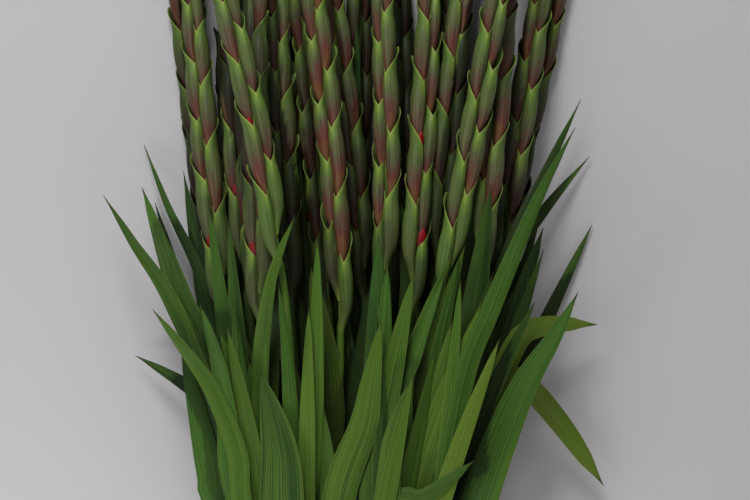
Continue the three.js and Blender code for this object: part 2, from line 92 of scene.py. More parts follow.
# The spike and its buds
SPIKE_RADIUS = 12
SPIKE_TAPER = 0.6
SPIKE_TAPER_POWER = 3
BUD_SPACING = 29.5
BUD_SPACING_SHRINK = 0.28
BUD_LENGTH_IN_SPACINGS = 2
LAST_BUD_BELOW_TIP = 34
LARGEST_SPIKE_ROLL = 0.5

# The leaves
LEAF_THICKNESS = 0.8
LEAF_STRETCH = 110
LISTED_LEAF_STRETCH = 63
LEAF_PRINT_STEPS = 320
LEAF_AIM = 6
COURSE_STEPS = 60
LEAF_BASE_HALF_WIDTH = 4
LEAF_TIP_HALF_WIDTH = 0.9
LEAF_DROOP = 0.35
LEAF_FALL = 0.5
LEAF_HIDDEN_LENGTH = 20
LEAF_ROOT_LENGTH = 45
LEAF_SWELL_FROM = 0.08
LEAF_SWELL_OVER = 0.35
LEAF_TAPER_FROM = 0.5
LEAF_TAPER_POWER = 2

# The leaves that no line below lists
LEAVES_PER_STEM = [3, 5, 5]
LOWEST_LEAF_Y = 232
LEAF_STEP_Y = 30
LEAF_FOOT_RANGE = (-15, 15)
LEAF_TIP_RANGE = (-100, 35)
LEAF_TIP_STEP = 10
LEAF_LEAN_RANGE = (2, 55)
LEAF_HALF_WIDTH_RANGE = (6, 12)
LEAF_FOOT_ROLL_RANGE = (-0.06, 0.06)
LEAF_TIP_ROLL_RANGE = (-1, 1)
LEAF_ROLL_SHARES = [0.3, 0.6, 1]
LEAF_MIDDLE = 0.55
LEAF_MIDDLE_LEAN = 0.45
LEAF_FAN = 0.2

# How the pile is laid
GAP = 0.35
CELL = 1.5
PILE_HALF_WIDTH = 330
PILE_LENGTH = 1150
MARGIN_Y = 40
STEP = 2
STALK_PROBES = 11
LEAF_PROBES = 17
PRINT_PROBES = 21
SETTLE_PASSES = 16
SETTLE_SHARE = 0.3
LEAST_WEIGHT = 1e-6
TINY = 1e-9

# The seeded draws, one row for the layout that the solids share and one for what only the scene has
LAYOUT_SEED = 20117
DETAIL_SEED = 4111
DRAW_FACTOR = 16807
DRAW_MODULUS = 2147483647

# The stems, in layers from the lowest to the top one. Each line is x at MID_Y and at TOP_Y, the
# heights where its lowest bud starts and where its tip is, and how high its leaves reach.
LAYERS = [
    [
        (-126, -151, 548, 950, 640),
        (-108, -109, 552, 960, 690),
        (-40, -44, 540, 940, 800),
        (10, 9, 556, 940, 790),
        (64, 75, 548, 950, 780),
        (86, 92, 550, 945, 720),
        (108, 131, 545, 960, 660),
        (133, 179, 552, 960, 640),
    ],
    [
        (-119, -139, 516, 955, 600),
        (-97, -106, 532, 965, 560),
        (-57, -65, 530, 970, 560),
        (-17, -42, 522, 980, 550),
        (20, -14, 530, 975, 570),
        (52, 45, 538, 960, 570),
        (76, 96, 540, 955, 580),
        (131, 166, 540, 950, 620),
    ],
    [
        (-82, -84, 510, 970, 560),
        (37, 30, 530, 950, 560),
        (116, 135, 545, 975, 590),
        (-1, -29, 504, 955, 540),
        (59, 70, 520, 965, 560),
        (84, 126, 532, 970, 560),
        (-47, -104, 560, 980, 540),
    ],
]

# Leaves that stand out of the bunch or lie in front of it: the number of the stem that each grows
# from, the height of its foot on the stalk, half its width, how bluntly it tapers, its roll at the foot
# and at the tip in radians, how pale it is, and the points that it passes, tip last.
LEAVES = [
    (1, 260, 6, 2, 0.1, 0.2, 0.2, [(-126, 598), (-139, 655), (-150, 686)]),
    (1, 235, 10, 2, 0.1, 0.3, 0.1, [(-96, 405), (-131, 441), (-191, 474)]),
    (2, 215, 7, 2, 0.2, 0.6, 0.4, [(-104, 430), (-126, 533), (-161, 607), (-184, 661)]),
    (8, 230, 9, 2, 0.1, -0.3, 0.55, [(104, 430), (139, 552), (170, 601), (213, 651)]),
    (9, 230, 9, 2, 0.1, 0.4, 0.45, [(-117, 437), (-152, 522), (-189, 576), (-216, 615)]),
    (9, 250, 10, 2, -0.1, 0.2, 0.3, [(-100, 411), (-126, 494), (-139, 524), (-158, 581)]),
    (10, 222, 12, 2, 0.1, -0.1, 0.5, [(-112, 350), (-119, 376), (-131, 433), (-144, 485)]),
    (11, 240, 9, 2, 0.1, 0.3, 0.55, [(-66, 400), (-67, 470), (-62, 550)]),
    (16, 240, 8, 2, 0.1, -0.4, 0.6, [(100, 450), (139, 568), (170, 633), (203, 700)]),
    (
        *(16, 262, 10, 5, 0.1, 0.2, 1),
        [(108, 420), (128, 456), (147, 492), (165, 501), (190, 503), (217, 502)],
    ),
    (
        *(16, 228, 10, 6, 0.1, 0.3, 0.95),
        [(92, 376), (120, 442), (140, 458), (158, 446), (187, 412), (209, 381), (223, 360)],
    ),
    (17, 235, 8.5, 2, 0.1, -0.2, 0.6, [(-88, 350), (-93, 394), (-109, 437), (-126, 467), (-168, 517)]),
    (17, 250, 10, 2, 0.1, 0.2, 0.5, [(-96, 367), (-102, 420), (-111, 472), (-128, 522)]),
    (17, 255, 9, 2, -0.3, -0.6, 0.4, [(-83, 385), (-90, 437), (-99, 526)]),
    (17, 265, 8, 2, 0.2, 0.5, 0.6, [(-76, 430), (-67, 535), (-45, 597)]),
    (17, 218, 19, 2, 0.05, 0.3, 0.3, [(-56, 350), (-59, 405), (-75, 466)]),
    (18, 225, 11, 2, 0.1, 0.4, 0.6, [(30, 350), (36, 410), (50, 457)]),
    (18, 230, 8, 3, 0.1, 0.2, 0.45, [(34, 352), (61, 361), (83, 376), (104, 392)]),
    (19, 235, 9, 2, -0.2, -0.4, 0.5, [(92, 440), (120, 520), (161, 611), (196, 674)]),
    (
        *(19, 215, 15, 1.8, 0, 0.2, 0.5),
        [(108, 350), (127, 402), (142, 438), (156, 465), (174, 493), (195, 532)],
    ),
    (20, 220, 14, 2, -0.05, 0.4, 0.65, [(-10, 350), (12, 420), (18, 455), (27, 510)]),
    (21, 245, 12, 2, 0.2, 0.5, 0.6, [(19, 390), (30, 437), (47, 515), (55, 549)]),
    (21, 232, 8, 2, -0.3, -0.7, 0.6, [(50, 376), (59, 420), (73, 484)]),
    (22, 262, 9, 2, 0.2, 0.6, 0.5, [(45, 437), (55, 480), (81, 548)]),
    (22, 275, 9, 2, -0.2, -0.5, 0.4, [(68, 430), (79, 495), (93, 561)]),
    (23, 285, 7, 2, 0.1, 0.3, 0.75, [(-30, 400), (-28, 480), (-27, 578)]),
    (23, 255, 7, 2, -0.2, -0.5, 0.5, [(-48, 410), (-52, 480), (-59, 539)]),
]

# The finer bracts, each a sheath that opens in a V, from which the next bract of its rank rises
BRACT_TUCK = 10
BRACT_HORN = 29
BRACT_HORN_SHRINK = 0.5
BRACT_CLOSED_PAST_NEXT = 4
BRACT_AROUND = 17
BRACT_BODY_RINGS = 11
BRACT_RING_POWER = 0.85
BRACT_HORN_RINGS = 9
BRACT_SKIN = 0.35
BRACT_LEAST_INNER = 0.5
BRACT_PAST_TIP = 8
BRACT_OPENING = 5.9
SPIKE_TURN_RANGE = (-0.1, 0.85)
BRACT_TURN_RANGE = 0.3
BRACT_KEEL = 0.16
BRACT_KEEL_WIDTH = 0.16
BRACT_FLATTENING = 0.1
BRACT_EDGE_REACH = 9
BRACT_EDGE_ACROSS = (1.3, 5.5)
BRACT_EDGE_BELOW = 0.5
BRACT_TILT_RANGE = (0.85, 1.25)
BRACT_LENGTH_RANGE = (0.95, 1.06)
SPIKE_RUST_RANGE = (-0.06, 0.1)
BRACT_RUST_RANGE = (-0.12, 0.12)
BRACT_SIZE_RANGE = (0.88, 1.08)
BRACT_FLARE_RANGE = (0.7, 1.4)

# Its distance from the middle of the stalk and its radius, both in spike radii: on its body, from base
# to the foot of the V, and on its horn, from there to the tip
BODY_COURSE = ([0, 0.2, 0.5, 1], [0.26, 0.4, 0.46, 0.46])
BODY_RADIUS = (
    [0, 0.05, 0.14, 0.3, 0.5, 0.7, 0.85, 1],
    [0.14, 0.26, 0.34, 0.46, 0.6, 0.65, 0.62, 0.52],
)
HORN_RADIUS = ([0, 0.4, 1], [0.52, 0.53, 0.56])
HORN_FLARE = ([0, 0.5, 1], [0, 0.06, 0.26])

# The lowest bracts wrap the whole stalk at their feet, and are as green as it is there
LOWEST_BRACTS = 2
LOWEST_FOOT = ([0, 0.08], [0.8, 1.1])
LOWEST_FOOT_OVER = 0.35
LOWEST_GREENING = 0.4
LOWEST_EDGE = (0.2, 3)

# The petals, in spike radii, and turned from where the V opens
PETAL_RINGS = 9
PETAL_AROUND = 10
PETAL_REACH = (-10, 5)
PETAL_TURN = -0.3
PETAL_COURSE = 0.4
PETAL_RADIUS = 0.3
PETAL_FLATNESS = 0.5
PETAL_OUT = (0.08, 0.46)

# How wide a petal is from its hidden foot to its tip
PETAL_SHAPE = ([0, 0.2, 0.5, 0.75, 1], [0.35, 0.75, 1, 0.72, 0.12])

# The finer leaves
LEAF_RINGS_EVERY = 7
LEAF_TOP_POINTS = 15
LEAF_UNDER_POINTS = 5
LEAF_RIBS = 3.5
LEAF_RIB_HEIGHT = 0.16
LEAF_MIDRIB_HEIGHT = 0.35
LEAF_MIDRIB_SHARE = 0.09
LEAF_ARCH = 0.05
LEAF_EDGE_THINNING = 0.75
LEAF_POINT_FROM = 0.93
LEAF_LEAST_POINT = 0.03
LEAF_SMOOTH_OVER = 18
LEAF_SMOOTH_AGAIN_OVER = 6
FOOT_SMOOTH_OVER = 26
FOOT_SMOOTH_UPTO = 110
# Painted shade: the palest tone a drawn leaf can take drops by this step for each layer below the top
PAINTED_SHADE_TONE_STEP = 0.15
LEAF_TONE_TURNS = 53
LEAF_STRIPES = 22

# Painted shade: pieces deep in the pile have their colour darkened, as shade falls there, by how far
# they lie below the highest piece around them. The palest leaves take only a share of it.
DEEP_REACH = 7
DEEP_FROM = 8
DEEP_OVER = 32
DEEP_SPIKE_PAINTED_SHADE = 0.18
DEEP_LEAF_PAINTED_SHADE = 0.3
PALE_LEAF_TONE = 0.9
PALE_LEAF_SUNK = 0.15

# The finer stalks
STALK_RINGS_EVERY = 6
STALK_AROUND = 18
STALK_SMOOTH_OVER = 30
SHEATH_STEP = 0.045
SHEATH_SLANT = 14
SHEATH_EDGE = 2.5
LARGEST_END_SHIFT = 5

# How courses are rounded off, how far each way a spike's direction is read, and the sharpest angle
# that is still shaded smooth, in degrees
SMOOTH_SAMPLES = 9
FRAME_REACH = 4
SMOOTH_ANGLE = 50

# How the bud for a petal is chosen: how far to its side its V lies, how much a distance along the bunch
# and a place high in the pile count, and how many buds at the tip have none
V_ASIDE = 5
ALONG_WEIGHT = 0.5
HIGH_WEIGHT = 0.15
TIP_BUDS = 2

# Where red petals show between the bracts, as x and y in the layout, and how large each is
PETALS = [
    (-122, 567, 1.1),
    (-97, 674, 1),
    (-97, 618, 1),
    (-43, 672, 1),
    (-40, 599, 1.2),
    (-103, 533, 1.2),
    (52, 662, 1.2),
    (48, 632, 1),
    (61, 592, 1.45),
    (117, 598, 1),
]

# What the camera takes in, at a level inside the bunch, and how far above that level it is
VIEW_CENTRE = (21.75, 567.5)
VIEW_WIDTH = 652
VIEW_DISTANCE = 1800
VIEW_LEVEL = 50
SENSOR_WIDTH = 36

MM = 0.001

# The floor and the world
FLOOR_HALF_SIZE = 6.0
FLOOR_COLOUR = (0.565, 0.555, 0.565, 1)
FLOOR_ROUGHNESS = 0.9
FLOOR_SPECULAR = 0.1
WORLD_COLOUR = (0.97, 0.95, 0.96, 1)
WORLD_STRENGTH = 0.3

# The lamps: where each stands and what it points at, in metres, its size and its power in watts
LAMPS = {
    "top_light": ((-0.33, 1.5, 1.3), (0, 0.1, 0), 0.7, 19.5),
    "left_light": ((-1.2, -0.5, 1.9), (-0.1, 0, 0), 1.0, 4.5),
    "low_light": ((-0.45, -0.5, 0.5), (-0.22, -0.14, 0), 0.25, 1.5),
    "low_right_light": ((0.3, -0.7, 0.45), (0.12, -0.14, 0), 0.3, 0.7),
    "front_light": ((-0.1, -0.3, 2.4), (0, 0.1, 0), 1.6, 1),
}


class Draws:
    """Seeded draws, the same each time."""

    def __init__(self, seed):
        self.seed = seed

    def __call__(self, low, high):
        self.seed = (self.seed * DRAW_FACTOR) % DRAW_MODULUS
        return low + ((high - low) * self.seed) / DRAW_MODULUS


draw = Draws(LAYOUT_SEED)
vary = Draws(DETAIL_SEED)


def mix(a, b, t):
    return a + (b - a) * t


# The height of the leaves laid so far, over a grid of cells
COLUMNS = round(2 * PILE_HALF_WIDTH / CELL)
ROWS = round(PILE_LENGTH / CELL)
leaf_pile = np.full(COLUMNS * ROWS, -GAP)


def cell_at(x, y):
    column = np.clip(np.floor((x + PILE_HALF_WIDTH) / CELL + 0.5), 1, COLUMNS - 2)
    row = np.clip(np.floor((y + MARGIN_Y) / CELL + 0.5), 1, ROWS - 2)
    return (row * COLUMNS + column).astype(int)


def raise_pile(x, y, z):
    middle = cell_at(x, y)
    for row in (-COLUMNS, 0, COLUMNS):
        for column in (-1, 0, 1):
            np.maximum.at(leaf_pile, middle + row + column, z)


def stalk_size(stem, y):
    """The half width and half thickness of a stalk at height y."""
    t = y / stem.first
    rachis = mix(RACHIS_WIDTH, TIP_WIDTH, (y - stem.first) / (stem.tip - stem.first)) / 2
    width = np.where(y < stem.first, mix(SHEATH_WIDTH, NECK_WIDTH, t) / 2, rachis)
    thickness = np.where(y < stem.first, mix(SHEATH_THICKNESS, NECK_THICKNESS, t) / 2, rachis)
    return width, thickness


def spike_radius(stem, y):
    t = np.clip((y - stem.first) / (stem.tip - stem.first), 0, 1)
    return SPIKE_RADIUS * (1 - SPIKE_TAPER * t**SPIKE_TAPER_POWER)


def envelope(stem, y):
    width, thickness = stalk_size(stem, y)
    radius = spike_radius(stem, y)
    below = y < stem.first - STEP
    return np.where(below, width, radius), np.where(below, thickness, radius)


def past(place, ease):
    """How far past a corner a place is, with the corner eased over a length."""
    return (place + np.hypot(place, ease)) / 2


def fan_x(stem, y):
    lower = (stem.mid_x - stem.tie_x) / (MID_Y - TIE_Y)
    upper = (stem.top_x - stem.mid_x) / (TOP_Y - MID_Y)
    rise = past(y - TIE_Y, TIE_EASE)
    return stem.tie_x + lower * rise + (upper - lower) * past(rise + TIE_Y - MID_Y, MID_EASE)


def stem_x(stem, y):
    return np.interp(y, stem.bends, stem.x)


def stem_z(stem, y):
    return np.interp(y, stem.bends, stem.z)


def settle(bends, places, needs, foot=None):
    """Heights at a row of bends, so that the stretches between them clear what is needed at places.

    They start high and come down a share of the slack at a time. A foot's height stays as given.
    """
    stretch = np.clip(np.searchsorted(bends, places, side="right") - 1, 0, len(bends) - 2)
    share = (places - bends[stretch]) / (bends[stretch + 1] - bends[stretch])
    asked = needs
    if foot is not None:
        asked = np.where(stretch == 0, foot + (needs - foot) / np.maximum(share, TINY), needs)
    before = [stretch == bend - 1 for bend in range(len(bends))]
    after = [stretch == bend for bend in range(len(bends))]
    heights = np.array([asked[a | b].max() for a, b in zip(before, after)])
    if foot is not None:
        heights[0] = foot
    for settled in range(1, SETTLE_PASSES + 1):
        for bend in range(0 if foot is None else 1, len(bends)):
            low = -np.inf
            for near, weight, other in (
                (before[bend], share, heights[bend - 1]),
                (after[bend], 1 - share, heights[(bend + 1) % len(bends)]),
            ):
                counted = near & (weight > LEAST_WEIGHT)
                if counted.any():
                    w = weight[counted]
                    low = max(low, ((needs[counted] - (1 - w) * other) / w).max())
            slack = max(0, heights[bend] - low)
            heights[bend] -= slack * (SETTLE_SHARE if settled < SETTLE_PASSES else 1)
    return heights


def eased(heights, bends, steepest):
    """Heights raised where they would fall more steeply than the piece can bend."""
    raised = np.array(heights)
    for i in range(1, len(raised)):
        raised[i] = max(raised[i], raised[i - 1] - steepest * (bends[i] - bends[i - 1]))
    for i in range(len(raised) - 2, -1, -1):
        raised[i] = max(raised[i], raised[i + 1] - steepest * (bends[i + 1] - bends[i]))
    return raised


stalks_laid = []


def stalks_top(x, y, stem, spared):
    """How high the stalks laid so far reach at points, leaving out the stem's own where it is spared."""
    top = np.full(x.shape, -float(GAP))
    for other in stalks_laid:
        width, thickness = envelope(other, y)
        apart = (x - stem_x(other, y)) / (width + GAP)
        counted = (np.abs(apart) < 1) & (y <= other.tip)
        if other is stem:
            counted &= ~spared
        reach = stem_z(other, y) + thickness * np.sqrt(np.clip(1 - apart * apart, 0, 1))
        top = np.where(counted, np.maximum(top, reach), top)
    return top


def lay_stalk(stem):
    y = np.arange(0, stem.tip + TINY, STEP)
    width, thickness = envelope(stem, y)
    x = stem_x(stem, y)
    need = thickness + np.where(np.abs(y - TIE_Y) < TIE_WIDTH, TIE_THICKNESS + TIE_CLEARANCE, 0)
    for u in np.linspace(-1, 1, STALK_PROBES):
        under = leaf_pile[cell_at(x + u * width, y)]
        need = np.maximum(need, under + GAP + thickness * math.sqrt(max(0, 1 - u * u)))
    for other in stalks_laid:
        other_width, other_thickness = envelope(other, y)
        apart = (x - stem_x(other, y)) / (width + other_width + GAP)
        rise = (thickness + other_thickness + GAP) * np.sqrt(np.clip(1 - apart * apart, 0, 1))
        counted = (np.abs(apart) < 1) & (y <= other.tip)
        need = np.where(counted, np.maximum(need, stem_z(other, y) + rise), need)
    stem.z = eased(settle(stem.bends, y, need), stem.bends, STALK_FALL)
    stalks_laid.append(stem)


def curve_point(points, t):
    """A point on the smooth curve through the points given, t from 0 to 1."""
    place = t * (len(points) - 1)
    i = min(int(place), len(points) - 2)
    f = place - i
    a, b, c, e = (np.array(points[min(max(k, 0), len(points) - 1)], float) for k in range(i - 1, i + 3))
    cubic = 3 * (b - c) + e - a
    square = 2 * a - 5 * b + 4 * c - e
    return b + 0.5 * f * (c - a + f * (square + f * cubic))


def course_of(points):
    """That curve, with the distance along it at each of its points."""
    curve = np.array([curve_point(points, i / COURSE_STEPS) for i in range(COURSE_STEPS + 1)])
    steps = np.hypot(*np.diff(curve, axis=0).T)
    return np.append(0, np.cumsum(steps)), curve[:, 0], curve[:, 1]


def leaf_half_width(leaf, t):
    rise = np.clip((t - LEAF_SWELL_FROM) / LEAF_SWELL_OVER, 0, 1)
    swell = mix(LEAF_BASE_HALF_WIDTH, leaf.half_width, rise * rise * (3 - 2 * rise))
    fall = np.clip((t - LEAF_TAPER_FROM) / (1 - LEAF_TAPER_FROM), 0, 1)
    return mix(swell, LEAF_TIP_HALF_WIDTH, fall**leaf.taper)


def leaf_section(leaf, t):
    """The middle of a leaf, and the way from there to its edge, at each t."""
    at, xs, ys = leaf.course
    s = t * at[-1]
    x, y = (np.interp(s, at, v) for v in (xs, ys))
    dx, dy = (np.interp(s + LEAF_AIM, at, v) - np.interp(s - LEAF_AIM, at, v) for v in (xs, ys))
    length = np.hypot(dx, dy)
    roll = mix(leaf.roll_foot, leaf.roll_tip, t**3)
    half = leaf_half_width(leaf, t)
    flat = half * np.cos(roll) / length
    return np.stack([x, y, flat * dy, -flat * dx, half * np.sin(roll)])


def leaf_points(leaf, t, w):
    """Points of the solid leaf, which is flat on each side of one diagonal between its bends.

    Each t is crossed with each w, from 0 to 1 across, and the third value is the rise above the middle.
    """
    i = np.clip(np.searchsorted(leaf.bends, t, side="right") - 1, 0, len(leaf.bends) - 2)
    share = np.clip((t - leaf.bends[i]) / (leaf.bends[i + 1] - leaf.bends[i]), 0, 1)[:, None]
    before, after = leaf.sections[:, i, None], leaf.sections[:, i + 1, None]
    turn = share * (after[2:] - before[2:])
    across = np.where(w > share, before[2:] * (2 * w - 1) + turn, after[2:] * 2 * w - before[2:] - turn)
    middle = mix(before[:2], after[:2], share)
    return middle[0] + across[0], middle[1] + across[1], across[2]


def lay_leaf(stem, leaf):
    leaf.course = course_of(leaf.points)
    length = leaf.course[0][-1]
    stretches = math.floor(length / leaf.stretch + 0.5)
    leaf.bends = np.arange(stretches + 1) / stretches
    leaf.bends[1] = LEAF_ROOT_LENGTH / length
    leaf.sections = leaf_section(leaf, leaf.bends)
    foot = float(stem_z(stem, leaf.points[0][1]))
    s = np.arange(LEAF_HIDDEN_LENGTH, length + TINY, STEP)
    t = s / length
    x, y, rise = leaf_points(leaf, t, np.linspace(0, 1, LEAF_PROBES))
    spared = np.broadcast_to((s < LEAF_ROOT_LENGTH)[:, None], x.shape)
    under = np.maximum(leaf_pile[cell_at(x, y)], stalks_top(x, y, stem, spared))
    need = (under + GAP + LEAF_THICKNESS / 2 - rise).max(axis=1)
    need = np.maximum(need, foot * (1 - LEAF_DROOP * t * t))
    leaf.z = eased(settle(leaf.bends, t, need, foot), leaf.bends * length, LEAF_FALL)
    leaf.z[0] = foot


def print_leaf(leaf):
    """Raises the pile by the top of a leaf."""
    t = np.linspace(0, 1, LEAF_PRINT_STEPS + 1)
    x, y, rise = leaf_points(leaf, t, np.linspace(0, 1, PRINT_PROBES))
    z = np.interp(t, leaf.bends, leaf.z)[:, None] + LEAF_THICKNESS / 2
    raise_pile(x.ravel(), y.ravel(), (z + rise).ravel())


def new_leaf(stem, stretch, half_width, taper, roll_foot, roll_tip, tone, points):
    leaf = SimpleNamespace(stem=stem, stretch=stretch, half_width=half_width, taper=taper)
    leaf.roll_foot, leaf.roll_tip, leaf.tone, leaf.points = roll_foot, roll_tip, tone, points
    return leaf


def leaves_of(stem):
    """A stem's listed leaves, and then those that are drawn, which have no tone of their own."""
    leaves = []
    for number, foot_y, *shape, points in LEAVES:
        if number == stem.number:
            points = [(float(stem_x(stem, foot_y)), foot_y), *points]
            leaves.append(new_leaf(stem, LISTED_LEAF_STRETCH, *shape, points))
    count = LEAVES_PER_STEM[stem.layer]
    roll_share = LEAF_ROLL_SHARES[stem.layer]
    for i in range(count):
        side = stem.side if i % 2 else -stem.side
        foot_y = LOWEST_LEAF_Y + LEAF_STEP_Y * i + draw(*LEAF_FOOT_RANGE)
        tip_y = stem.leaf_top + draw(*LEAF_TIP_RANGE) - LEAF_TIP_STEP * (count - 1 - i)
        lean = side * draw(*LEAF_LEAN_RANGE) + LEAF_FAN * stem.mid_x
        mid_y = mix(foot_y, tip_y, LEAF_MIDDLE)
        points = [
            (float(stem_x(stem, foot_y)), foot_y),
            (float(stem_x(stem, mid_y)) + lean * LEAF_MIDDLE_LEAN, mid_y),
            (float(stem_x(stem, tip_y)) + lean, tip_y),
        ]
        half_width = draw(*LEAF_HALF_WIDTH_RANGE)
        roll_foot = roll_share * draw(*LEAF_FOOT_ROLL_RANGE)
        roll_tip = roll_share * draw(*LEAF_TIP_ROLL_RANGE)
        shape = (half_width, LEAF_TAPER_POWER, roll_foot, roll_tip)
        leaves.append(new_leaf(stem, LEAF_STRETCH, *shape, None, points))
    return leaves


def lay_layer(lines, layer, first_number):
    """The stalks of one layer, and then its leaves, the one with the highest foot first."""
    stems = []
    for i, (mid_x, top_x, first, tip, leaf_top) in enumerate(lines):
        stem = SimpleNamespace(number=first_number + i, layer=layer, mid_x=mid_x, top_x=top_x)
        stem.first, stem.tip, stem.leaf_top, stem.leaves = first, tip, leaf_top, []
        stems.append(stem)
    order = sorted(stem.mid_x for stem in stems)
    for stem in stems:
        shift = (layer % 2 - 0.5) * TIE_STAGGER
        stem.tie_x = (order.index(stem.mid_x) - (len(stems) - 1) / 2 + shift) * TIE_SPACING
        stem.bends = np.array([*STALK_BENDS_AT, stem.tip], float)
        stem.x = fan_x(stem, stem.bends)
        stem.roll = draw(-LARGEST_SPIKE_ROLL, LARGEST_SPIKE_ROLL)
        stem.side = -1 if draw(0, 1) < 0.5 else 1
        lay_stalk(stem)
    leaves = [leaf for stem in stems for leaf in leaves_of(stem)]
    leaves.sort(key=lambda leaf: -leaf.points[0][1])
    for leaf in leaves:
        lay_leaf(leaf.stem, leaf)
        leaf.stem.leaves.append(leaf)
        print_leaf(leaf)
    return stems


stems = []
for layer, lines in enumerate(LAYERS):
    stems += lay_layer(lines, layer, len(stems) + 1)


def pile_top():
    """How high the whole pile reaches at each cell."""
    x = np.arange(COLUMNS) * CELL - PILE_HALF_WIDTH
    y = np.arange(ROWS) * CELL - MARGIN_Y
    x, y = (grid.ravel() for grid in np.meshgrid(x, y))
    return np.maximum(leaf_pile, stalks_top(x, y, None, None))


def spread(grid, reach):
    """The highest value within a reach of each cell."""
    for axis in (0, 1):
        shifted = [np.roll(grid, shift, axis) for shift in range(-reach, reach + 1)]
        grid = np.max(shifted, axis=0)
    return grid


pile_around = spread(pile_top().reshape(ROWS, COLUMNS), DEEP_REACH).ravel()


def depth(x, y, z):
    """How deep points lie in the pile, from 0 near its top to 1."""
    deep = (pile_around[cell_at(x, y)] - z - DEEP_FROM) / DEEP_OVER
    return deep.clip(0, 1)


def smoothed(at, values, place, over):
    """Values along a row of bends, with the bends rounded off over a length each way."""
    shares = np.linspace(-1, 1, SMOOTH_SAMPLES)
    return np.mean([np.interp(place + share * over, at, values) for share in shares], axis=0)


def stem_points(stem, y):
    """Points along the rounded middle line of a stem."""
    over = np.minimum(STALK_SMOOTH_OVER, np.minimum(y, stem.tip - y).clip(0, None))
    x, z = (smoothed(stem.bends, values, y, over) for values in (stem.x, stem.z))
    return stacked(x, y, z)


def unit(v):
    return v / np.linalg.norm(v, axis=-1, keepdims=True)


def angles(count):
    """Angles all the way round."""
    return np.linspace(0, 2 * math.pi, count, endpoint=False)


def stacked(*values):
    """Vectors of the values, which are spread over one another's shape."""
    return np.stack(np.broadcast_arrays(*values), -1)


def add_object(name, data):
    made = bpy.data.objects.new(name, data)
    bpy.context.scene.collection.objects.link(made)
    return made


class Piece:
    """A mesh built up from closed bodies, which carry values at their points for the material.

    The marks are a place across and along, and a tone. The edge is how far a point is from a bract's
    edge, and sunk is how much it takes of the painted shade that darkens the colour deep in the pile.
    """

    def __init__(self, name, node, deep_painted_shade=1.0):
        self.name, self.node, self.deep_painted_shade = name, node, deep_painted_shade
        self.points, self.faces, self.slots = [], [], []
        self.marks, self.edges, self.sunk = [], [], []
        self.count = 0

    def add(self, points, faces, marks, slot=0, edge=1.0, sunk=1.0):
        self.points.append(points)
        self.marks.append(np.broadcast_to(marks, points.shape))
        self.edges.append(np.broadcast_to(edge, len(points)))
        self.sunk.append(np.full(len(points), sunk))
        self.faces += [[corner + self.count for corner in face] for face in faces]
        self.slots += [slot] * len(faces)
        self.count += len(points)

    def add_tube(self, rings, marks, slot=0, sunk=1.0, closed=False):
        """A body closed round each of its rings, with two ends unless it closes on itself."""
        count, around = rings.shape[:2]
        row = np.arange(count if closed else count - 1)[:, None] * around
        k = np.arange(around)[None, :]
        after, ahead = (k + 1) % around, (row + around) % (count * around)
        faces = stacked(row + k, row + after, ahead + after, ahead + k).reshape(-1, 4).tolist()
        if not closed:
            faces.append(list(range(around))[::-1])
            faces.append(list(range((count - 1) * around, count * around)))
        points = rings.reshape(-1, 3)
        self.add(points, outward(points, faces), marks.reshape(-1, 3), slot, sunk=sunk)

    def add_shell(self, outer, inner, marks, edge):
        """A sheet with two faces, closed along its four edges."""
        along, across = outer.shape[:2]
        points = np.concatenate([outer, inner], axis=1)
        marks = np.concatenate([marks, marks], axis=1)
        edge = np.tile(np.broadcast_to(edge, (along, across)), 2).ravel()
        row = np.arange(along - 1)[:, None] * 2 * across
        down = 2 * across
        k = np.arange(across - 1)[None, :]
        front = np.stack([row + k, row + k + 1, row + down + k + 1, row + down + k], -1)
        back = front[..., ::-1] + across
        row = row[:, 0]
        left = np.stack([row, row + down, row + down + across, row + across], -1)
        right = np.stack([row, row + across, row + down + across, row + down], -1) + across - 1
        k = k[0]
        low = np.stack([k, k + across, k + across + 1, k + 1], -1)
        high = low[:, ::-1] + (along - 1) * down
        sheets = (front, back, left, right, low, high)
        faces = np.concatenate([sheet.reshape(-1, 4) for sheet in sheets]).tolist()
        points = points.reshape(-1, 3)
        self.add(points, outward(points, faces), marks.reshape(-1, 3), edge=edge)

    def build(self, materials, shift):
        mesh = bpy.data.meshes.new(self.name)
        points = np.concatenate(self.points)
        # Painted shade: points deep in the pile get a darker colour, as shade falls there
        painted_shades = mix(1, self.deep_painted_shade, depth(*points.T) * np.concatenate(self.sunk))
        points = (points + shift) * MM
        mesh.from_pydata(points.tolist(), [], self.faces)
        mesh.polygons.foreach_set("material_index", self.slots)
        mesh.polygons.foreach_set("use_smooth", [True] * len(self.faces))
        for name, kind, field, values in (
            ("marks", "FLOAT_VECTOR", "vector", np.concatenate(self.marks).ravel()),
            ("edge", "FLOAT", "value", np.concatenate(self.edges)),
            ("painted_shade", "FLOAT", "value", painted_shades),
        ):
            attribute = mesh.attributes.new(name, kind, "POINT")
            attribute.data.foreach_set(field, values.astype("f4"))
        for material in materials:
            mesh.materials.append(material)
        mesh.set_sharp_from_angle(angle=math.radians(SMOOTH_ANGLE))
        mesh.update()
        made = add_object(self.name, mesh)
        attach(made, "root")
        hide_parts(self.node)
        return made


def outward(points, faces):
    """The faces, turned round if they make the body inside out."""
    corners = np.array([face[:3] for face in faces] + [[f[0], f[2], f[3]] for f in faces if len(f) > 3])
    a, b, c = (points[corners[:, k]] - points[0] for k in range(3))
    volume = np.einsum("ij,ij->i", a, np.cross(b, c)).sum()
    return faces if volume > 0 else [face[::-1] for face in faces]


def spike_frame(stem, y, side):
    """The way from the stalk to a rank of buds at heights y, and the way square to both."""
    along = unit(stem_points(stem, y + FRAME_REACH) - stem_points(stem, y - FRAME_REACH))
    across = unit(np.stack([along[:, 1], -along[:, 0], 0 * y], -1))
    up = np.cross(across, along)
    out = side * (across * math.cos(stem.roll) + up * math.sin(stem.roll))
    front = up * math.cos(stem.roll) - across * math.sin(stem.roll)
    return out, front


